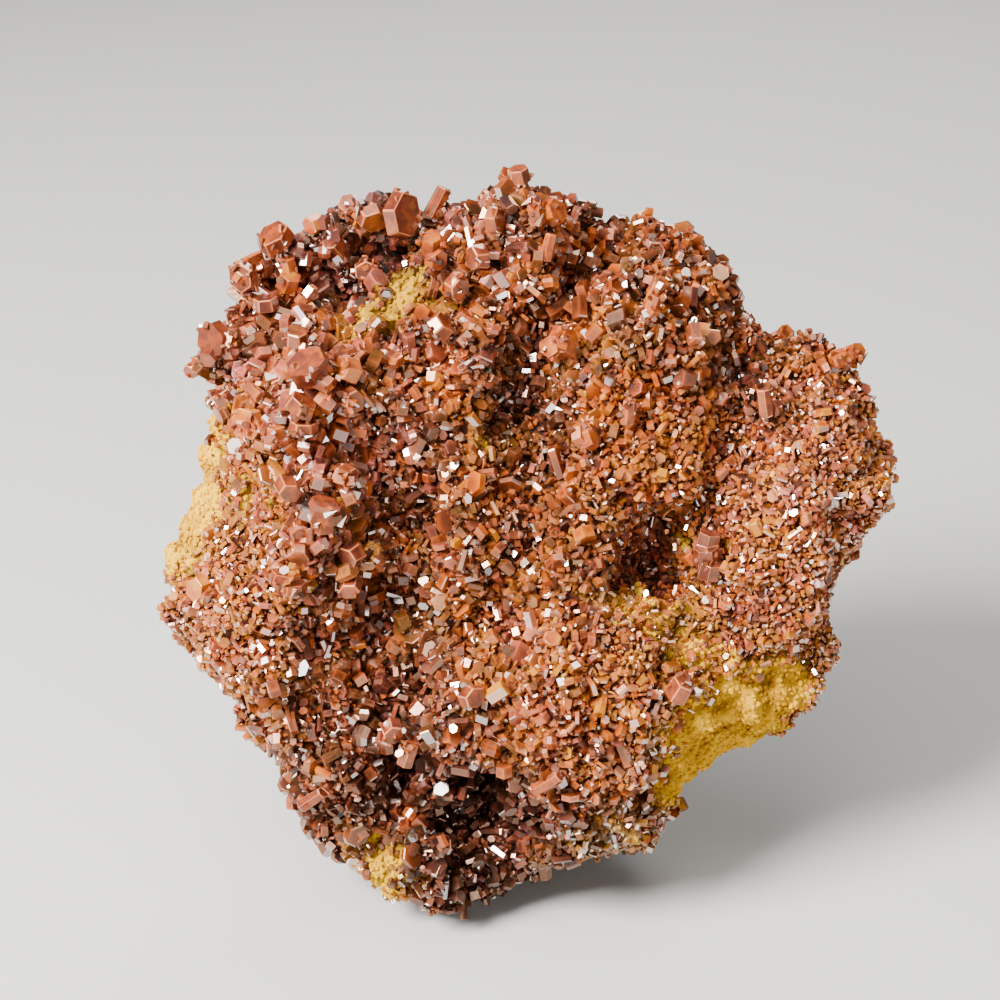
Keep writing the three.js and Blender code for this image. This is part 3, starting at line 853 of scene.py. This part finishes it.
# name: bodies, each (rings, spin, lean, shift)
FULL_SHAPES = {
    "plate on edge": [(block(0.56, 0.24, 0.04), 0, 90, (0, 0, 0))],
    "thick plate on edge": [(block(0.54, 0.36, 0.05), 1, 84, (0, 0, 0))],
    "leaning tablet": [(block(0.54, 0.44, 0.05), 2, 70, (0, 0, 0))],
    "tablet on edge": [(block(0.5, 0.56, 0.05), 3, 88, (0, 0, 0))],
    "tablet": [(block(0.52, 0.46, 0.05), 4, 62, (0, 0, 0))],
    "short prism": [(block(0.42, 0.85, 0.05), 5, 72, (0, 0, 0.05))],
    "long prism": [(block(0.3, 1.25, 0.05), 1, 62, (0, 0, 0.05))],
    "barrel": [(BARREL, 2, 66, (0, 0, 0.05))],
    "hopper": [(HOPPER, 3, 56, (0, 0, 0))],
    "stack": [
        (block(0.54, 0.22, 0.04), 0, 74, (0.14, 0, 0.02)),
        (block(0.48, 0.22, 0.04), 0, 78, (-0.09, 0.05, -0.04)),
    ],
}
PLAIN_SHAPES = {
    "plain plate on edge": [(block(0.56, 0.24), 0, 90, (0, 0, 0))],
    "plain thick plate": [(block(0.54, 0.36), 1, 82, (0, 0, 0))],
    "plain tablet": [(block(0.52, 0.5), 2, 74, (0, 0, 0))],
    "plain leaning tablet": [(block(0.5, 0.45), 5, 60, (0, 0, 0))],
    "plain prism": [(block(0.4, 0.85), 3, 74, (0, 0, 0.04))],
    "plain needle": [(block(0.28, 1.15), 4, 60, (0, 0, 0.05))],
}
# name: (cross-section, length), of bars that lie on the ground
LYING_SHAPES = {
    "lying prism": ([(-0.42, 0.0), (-0.2, 0.36), (0.24, 0.38), (0.44, 0.02), (0.0, -0.6)], 0.85),
    "roof": ([(-0.4, 0.04), (0.06, 0.42), (0.42, -0.02), (0.0, -0.6)], 0.6),
    "splinter": ([(-0.13, 0.55), (0.15, 0.5), (0.1, -0.5), (-0.1, -0.5)], 0.85),
}
CHIP_LEANS = (40, 65)

# %% [markdown]
# Two numbers are stored on the shapes. "tip" is each point's share of the way up to the free end, which
# the finish uses to paint shade towards the root and a highlight towards the free end. Broad faces get one
# more point in their middle, with a lower share, so their edges get more painted highlight than their middle.
# "facet" numbers the faces, so the finish can pick a few that flash.

# %% Making the shapes
TIP_START = 0.4  # below the ground, as a share of a crystal's width
MIDDLE_SHARE = 0.4  # of the tip value, in the middle of a face
BROAD_FACE = 0.08  # area, for a crystal that is 1 wide


def finish_shape(collection, name, shape):
    """Faces turned outwards, and a tip value for each point. Points in mid-face are tagged."""
    bmesh.ops.recalc_face_normals(shape, faces=shape.faces)
    tip_layer = shape.verts.layers.float.new("tip")
    for vertex in shape.verts:
        vertex[tip_layer] = min(max(vertex.co.z + TIP_START, 0), 1) * (MIDDLE_SHARE if vertex.tag else 1)
    mesh = bpy.data.meshes.new(name)
    shape.to_mesh(mesh)
    shape.free()
    mesh.shade_flat()
    collection.objects.link(bpy.data.objects.new(name, mesh))


def number_facets(shape):
    facet_layer = shape.faces.layers.float.new("facet")
    for number, face in enumerate(shape.faces):
        face[facet_layer] = number


def make_shapes(title, shapes, poked):
    """Poked shapes get a point in the middle of each of their broader faces."""
    collection = bpy.data.collections.new(title)
    for name, bodies in shapes.items():
        shape = bmesh.new()
        for body in bodies:
            add_prism(shape, *body)
        number_facets(shape)
        broad = [face for face in shape.faces if face.calc_area() > BROAD_FACE] if poked else []
        for middle_of_face in bmesh.ops.poke(shape, faces=broad)["verts"]:
            middle_of_face.tag = True
        finish_shape(collection, name, shape)
    return collection


def make_tiny_shapes():
    collection = bpy.data.collections.new("tiny crystal shapes")
    for name, (outline, length) in LYING_SHAPES.items():
        shape = bmesh.new()
        add_bar(shape, outline, length)
        number_facets(shape)
        finish_shape(collection, name, shape)
    for lean in CHIP_LEANS:
        shape = bmesh.new()
        add_chip(shape, 0.5, 0.35, 1.2, lean)
        number_facets(shape)
        finish_shape(collection, f"chip {lean}", shape)
    return collection


full_shapes = make_shapes("crystal shapes", FULL_SHAPES, poked=True)
plain_shapes = make_shapes("plain crystal shapes", PLAIN_SHAPES, poked=False)
tiny_shapes = make_tiny_shapes()

# %% [markdown]
# The druse is grown in passes, from coarse to fine. Points are spread over the rock at least a set distance
# apart, and a crystal is put on each. Before the next pass, the distance from the rock to the crystals that
# are already there is measured, so that smaller ones only grow in the room that is left. The scattered pass
# strews single crystals among the others that are larger and more vivid than their neighbours.


# %% Spreading points and growing crystals
COLUMNS = ("Shapes", "Spacing", "Packing", "Finest Zone", "Widest", "Enlarged", "Tilt", "Rise", "Vivid")
SMALLEST, LARGEST = 0.7, 1.45  # size of a crystal, for each mm of the width that its zone asks for


def turned(tree, rotation, angle, axis):
    euler = add_node(tree, "ShaderNodeCombineXYZ", {axis: angle})
    turn = add_node(tree, "FunctionNodeEulerToRotation", (euler,))
    return add_node(tree, "FunctionNodeRotateRotation", (rotation, turn), rotation_space="LOCAL")


def spread_points(tree, given):
    zone, density, room = (add_node(tree, VALUE, {"Name": name}) for name in ("width", "density", "room"))
    full_zone = add_node(tree, MATH, (given["Finest Zone"], 0.4), **PLUS)
    fits = add_node(tree, RANGE, (zone, given["Finest Zone"], full_zone), **SMOOTH)
    free = add_node(tree, MATH, (density, room), **TIMES)
    spacing_squared = add_node(tree, MATH, (given["Spacing"], 2.0), operation="POWER")
    inputs = {
        "Mesh": given["Geometry"],
        "Distance Min": given["Spacing"],
        "Density Max": add_node(tree, MATH, (given["Packing"], spacing_squared), operation="DIVIDE"),
        "Density Factor": add_node(tree, MATH, (fits, free), **TIMES),
        "Seed": given["Seed"],
    }
    return add_node(tree, "GeometryNodeDistributePointsOnFaces", inputs, distribute_method="POISSON")


def sized_crystals(tree, given):
    """The size of each crystal, and its scale along each of its axes."""
    wide = add_node(tree, VALUE, {"Name": "width"})
    wanted = add_node(tree, MATH, (wide, given["Enlarged"]), **TIMES)
    wide = add_node(tree, MATH, (wanted, given["Widest"]), operation="MINIMUM")
    chance = add_node(tree, RANDOM, {2: 0, 3: 1, "Seed": 1})
    chance = add_node(tree, MATH, (chance, 1.6), operation="POWER")
    share = (chance, (LARGEST - SMALLEST) * MM, SMALLEST * MM)
    share = add_node(tree, MATH, share, **TIMES_PLUS)
    size = add_node(tree, MATH, (wide, share), **TIMES)
    stretches = [add_node(tree, RANDOM, {2: 0.82, 3: 1.18, "Seed": seed}) for seed in (2, 3, 4)]
    scales = [add_node(tree, MATH, (size, stretch), **TIMES) for stretch in stretches]
    return size, add_node(tree, "ShaderNodeCombineXYZ", scales)


def grown_crystals(tree, given, points):
    """An instance of a shape on each point, with a size, a stretch and a turn of its own."""
    size, scale = sized_crystals(tree, given)
    spin = add_node(tree, RANDOM, {2: 0, 3: math.tau, "Seed": 5})
    rotation = turned(tree, points.outputs["Rotation"], spin, 2)
    for axis, seed in ((0, 6), (1, 7)):
        tilt = add_node(tree, RANDOM, {2: -1, 3: 1, "Seed": seed})
        tilt = add_node(tree, MATH, (tilt, given["Tilt"]), **TIMES)
        rotation = turned(tree, rotation, tilt, axis)
    risen = add_node(tree, RANDOM, {2: 0.2, 3: 1.4, "Seed": 8})
    risen = add_node(tree, MATH, (given["Rise"], risen), **TIMES)
    risen = add_node(tree, MATH, (size, risen), **TIMES)
    lift = add_node(tree, VECTOR, {0: points.outputs["Normal"], "Scale": risen}, operation="SCALE")
    lifted = add_node(tree, "GeometryNodeSetPosition", {"Geometry": points, "Offset": lift})
    settings = {"Collection": given["Shapes"], "Separate Children": True, "Reset Children": True}
    shapes = add_node(tree, "GeometryNodeCollectionInfo", settings)
    inputs = {"Points": lifted, "Instance": shapes, "Pick Instance": True}
    inputs |= {"Rotation": rotation, "Scale": scale}
    return add_node(tree, "GeometryNodeInstanceOnPoints", inputs)


# %% [markdown]
# A crystal's tone is its zone's, changed by 9 mm patches and by chance. Black painted shade darkens it in
# the shaded hollows, and dust lies in patches. These values are stored on each copy before the copies are
# made real. A draw for each face, made from the copy's chance and the face's number, then says whether that
# face is bright.

# %% A tree that grows a pass
BRIGHT_FACES, BRIGHT_WHERE_GLOSSY = 0.13, 0.28  # share of the faces, and how much more for each unit of painted sheen and gloss
FACET_STEP = 0.377  # sends the numbers 0, 1, 2 and so on far apart between 0 and 1


def tone_of_crystals(tree, given):
    patchy = add_node(tree, NOISE, {"Scale": 1 / (9 * MM), "Detail": 2.0})
    patchy = add_node(tree, RANGE, (patchy, 0.35, 0.65, -0.16, 0.16), **SMOOTH)
    tone = add_node(tree, MATH, (add_node(tree, VALUE, {"Name": "orange"}), patchy), **PLUS)
    change = add_node(tree, RANDOM, {2: -0.3, 3: 0.14, "Seed": 9})
    tone = add_node(tree, MATH, (tone, change), **PLUS)
    vivid = add_node(tree, RANDOM, {2: 0, 3: 1, "Seed": 11})
    vivid = add_node(tree, MATH, (vivid, 5.0), operation="POWER")
    tone = add_node(tree, MATH, (vivid, 0.35, tone), **TIMES_PLUS)
    tone = add_node(tree, MATH, (tone, given["Vivid"]), **PLUS)
    # black painted shade in the shaded hollows darkens the tone
    stain = add_node(tree, VALUE, {"Name": "stain"})
    return add_node(tree, MATH, (stain, -0.3, tone), **TIMES_PLUS)


def dust_of_crystals(tree, given):
    patchy = add_node(tree, NOISE, {"Scale": 1 / (6 * MM), "Detail": 2.0})
    patchy = add_node(tree, RANGE, (patchy, 0.4, 0.62, 0.1, 1.1), **SMOOTH)
    clean = add_node(tree, MATH, (given["Vivid"], -7.0, 1.0), **TIMES_PLUS)
    dust = add_node(tree, MATH, (add_node(tree, VALUE, {"Name": "dust"}), patchy), **TIMES)
    return add_node(tree, MATH, (dust, clean), **TIMES)


def druse_tree():
    sockets = dict.fromkeys(COLUMNS, "Float")
    sockets |= {"Shapes": "Collection", "Seed": "Int"}
    tree, given = new_shape_tree("druse", sockets)
    grown = grown_crystals(tree, given, spread_points(tree, given))
    # painted sheen: some crystals get a pale sheen painted on, more where the zone gives more
    paleness = add_node(tree, VALUE, {"Name": "paleness"})
    sheen_chance = add_node(tree, RANDOM, {2: 0, 3: 1, "Seed": 10})
    sheen_chance = add_node(tree, MATH, (sheen_chance, 2.5), operation="POWER")
    chosen = {
        "tone": tone_of_crystals(tree, given),
        "dust": dust_of_crystals(tree, given),
        "pale": add_node(tree, MATH, (sheen_chance, paleness), **TIMES),
        "glance": add_node(tree, RANDOM, {2: 0, 3: 1, "Seed": 12}),
    }
    for name, value in chosen.items():
        grown = add_node(tree, KEEP, {"Geometry": grown, "Name": name, "Value": value}, domain="INSTANCE")
    real = add_node(tree, "GeometryNodeRealizeInstances", (grown,))
    bright_share = add_node(tree, MATH, (paleness, BRIGHT_WHERE_GLOSSY, BRIGHT_FACES), **TIMES_PLUS)
    facet, glance = (add_node(tree, VALUE, {"Name": name}) for name in ("facet", "glance"))
    draw = add_node(tree, MATH, (facet, FACET_STEP, glance), **TIMES_PLUS)
    draw = add_node(tree, MATH, (draw,), operation="FRACT")
    bright = add_node(tree, MATH, (draw, bright_share), operation="LESS_THAN")
    real = add_node(tree, KEEP, {"Geometry": real, "Name": "bright", "Value": bright}, domain="FACE")
    return finish_tree(tree, real, given)


# %% Growing the druse
# shapes, spacing in mm, packing, zones from this width in mm on, widest crystal in mm, enlarged, tilt in
# degrees, rise as a share of the size, more vivid
PASSES = {
    "coarse_crystals": (full_shapes, 3.3, 3.0, 3.2, 4.8, 1.0, 26, 0.4, 0.0),
    "scattered_crystals": (full_shapes, 3.0, 0.3, 0.0, 3.3, 1.45, 30, 0.4, 0.1),
    "medium_crystals": (full_shapes, 2.3, 3.0, 2.1, 3.1, 1.0, 28, 0.38, 0.0),
    "small_crystals": (plain_shapes, 1.55, 3.0, 1.5, 2.2, 1.0, 30, 0.36, 0.0),
    "fine_crystals": (plain_shapes, 1.2, 3.0, 0.0, 1.5, 1.0, 34, 0.32, 0.0),
    "finer_crystals": (tiny_shapes, 0.87, 3.0, 0.0, 1.15, 1.0, 36, 0.3, 0.0),
    "finest_crystals": (tiny_shapes, 0.76, 3.0, 0.0, 0.8, 1.0, 40, 0.25, 0.05),
}
EDGE_ROOM = (0.6, 1.0)  # of a crystal's width from the frame's box: none grow, and all grow


def inside_box(points, widest):
    """0 next to the sides of the frame's box, 1 well inside them."""
    room = np.minimum(points - np.array(low), np.array(high) - points)
    return smooth_step(room.min(1) / MM / widest, *EDGE_ROOM)


def pass_values(row, seed, finish):
    values = dict(zip(COLUMNS, row)) | {"Seed": seed, "Material": finish}
    return values | {"Spacing": values["Spacing"] * MM, "Tilt": math.radians(values["Tilt"])}


druse, grown = [], [joined_copy(standing)]
growth = druse_tree()
for seed, (name, row) in enumerate(PASSES.items()):
    values = pass_values(row, seed, druse_finish)
    spacing = values["Spacing"] / MM
    ground = rock_mesh.copy()
    room = smooth_step(signed_distance(grown, rock_points), -0.1 * spacing, 0.2 * spacing)
    store(ground, {"room": room * inside_box(rock_points, values["Widest"])})
    mesh = run_tree(growth, ground, name, values)
    druse.append(linked(name, mesh))
    grown.append(mesh)
    mesh.calc_loop_triangles()
    print(name, len(mesh.loop_triangles), "triangles")

# %% [markdown]
# Small crystals also sit on the large ones, in patches, and soften their outlines. The same tree grows them,
# on a copy of the large crystals, where these stand out of the rock.

# %% Crystals on crystals
OVERGROWTH_WIDTH = 1.3  # mm
OVERGROWTH = (tiny_shapes, 1.1, 3.0, 0.0, OVERGROWTH_WIDTH, 1.0, 40, 0.15, 0.0)  # a row like those above
OVERGROWTH_SEED = 7
shell = joined_copy(standing)
shell_points = points_of(shell)
free = smooth_step(signed_distance([rock_mesh], shell_points), -0.3, 0.3)
ones = np.ones(len(shell_points))
overgrowth_surface = {
    "width": OVERGROWTH_WIDTH * ones,
    "orange": 0.5 * ones,
    "paleness": 0.6 * ones,
    "dust": 0.15 * ones,
    "density": np.clip(0.3 + 1.2 * wobble(shell_points, 5, 7), 0, 1),
    "room": free * inside_box(shell_points, OVERGROWTH_WIDTH),
}
store(shell, overgrowth_surface)
overgrowth_values = pass_values(OVERGROWTH, OVERGROWTH_SEED, druse_finish)
overgrowth = run_tree(growth, shell, "overgrown_crystals", overgrowth_values)
druse.append(linked("overgrown_crystals", overgrowth))
print("overgrown_crystals", len(overgrowth.polygons), "faces")


# %% [markdown]
# ## Ochre grains
#
# Bare limonite looks like coarse sugar: it crumbles into rounded grains. A bump alone would leave its
# outline smooth, so grains are strewn over the bare places of the front and the sides in the same way as the
# crystals, turned any way.


# %% Grains of limonite
def make_grains(count):
    collection = bpy.data.collections.new("grain shapes")
    for index in range(count):
        shape = bmesh.new()
        bmesh.ops.create_icosphere(shape, subdivisions=1, radius=0.5)
        for vertex in shape.verts:
            vertex.co *= 1 + 0.5 * noise.noise(2.5 * vertex.co + Vector((3 * index, 0, 0)))
        mesh = bpy.data.meshes.new(f"grain {index}")
        shape.to_mesh(mesh)
        shape.free()
        collection.objects.link(bpy.data.objects.new(mesh.name, mesh))
    return collection


grain_shapes = make_grains(3)
GRAINS = (grain_shapes, 1.0, 3.0, 0.0, 9.0, 1.0, 180, 0.1, 0.0)  # a row like those of the passes
GRAIN_SEED = 11
GRAIN_WIDTH = 1.0  # mm
ground = rock_mesh.copy()
ones = np.ones(len(rock_points))
grain_room = inside_box(rock_points, GRAIN_WIDTH)
store(ground, {"width": GRAIN_WIDTH * ones, "density": surface["sugar"], "room": grain_room})
grain_values = pass_values(GRAINS, GRAIN_SEED, limonite_finish)
grain_mesh = run_tree(growth, ground, "limonite_grains", grain_values)
grains = linked("limonite_grains", grain_mesh)
grain_mesh.calc_loop_triangles()
print("the grains have", len(grain_mesh.loop_triangles), "triangles")

for collection in (full_shapes, plain_shapes, tiny_shapes, grain_shapes):
    for shape in list(collection.objects):
        bpy.data.objects.remove(shape)

# %% [markdown]
# ## The large crystals
#
# These are the frame's own solids. Weld joins the corners that their triangles share, and Bevel breaks
# their edges, so that each edge catches a thin line of light, as a real one does. The faces that Bevel makes
# get a lighter finish: partly because edges are rubbed first, and partly as a painted highlight along them.

# %% Finish of the large crystals
ORANGE_ONES = ("crest_flame", "crest_orange", "dome_", "knob_leg", "knob_torch", "ledge_bud", "lobe_horn")
ORANGE_ONES += ("rim_column",)
TAN_ONES = ("bulge_mirror", "crest_tan", "flank_rosette", "rim_block")
DEEP_ONES = ("crest_spark", "hollow_", "lobe_spool", "rim_plate", "rim_shelf", "rim_slab", "shoulder_bar")
DEEP_ONES += ("toe_rose",)
# finish: (tone, how the names of its crystals start), and every other crystal is red
LARGE_FINISHES = {
    "orange vanadinite": (0.74, ORANGE_ONES),
    "tan vanadinite": (0.86, TAN_ONES),
    "deep red vanadinite": (0.36, DEEP_ONES),
    "red vanadinite": (0.5, ""),
}
finishes = {name: vanadinite(name, 0.22, tone) for name, (tone, _) in LARGE_FINISHES.items()}
# bevel faces: partly rubbed wear, partly a painted highlight along the edges
worn_edge_highlight_finish = vanadinite("vanadinite, worn edges", 0.2, 0.7, worn=0.45)


def finish_of(name):
    fits = [title for title, (_, starts) in LARGE_FINISHES.items() if name.startswith(starts)]
    return finishes[fits[0]]


for name in standing:
    crystal = frame["nodes"][name]
    crystal.data.materials.clear()
    crystal.data.materials.append(finish_of(name))
    crystal.data.materials.append(worn_edge_highlight_finish)
    weld = crystal.modifiers.new("weld", "WELD")
    weld.merge_threshold = 0.01 * MM
    bevel = crystal.modifiers.new("bevel", "BEVEL")
    bevel.width = 0.22 * MM
    bevel.segments = 1
    bevel.angle_limit = math.radians(25)
    bevel.material = 1
print("finishes of the large crystals:", list(finishes))

# %% What each piece rides on
for piece in druse:
    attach(piece, "root")
    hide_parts(CRUST)
for piece in (rock, grains):
    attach(piece, "root")
    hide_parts(ROCK)
print(len(druse), "pieces of druse,", rock.name, "and", grains.name, "ride on the root")

# %% Sizes
print("the frame's box", [tuple(round(x / MM, 1) for x in c) for c in cad_box])
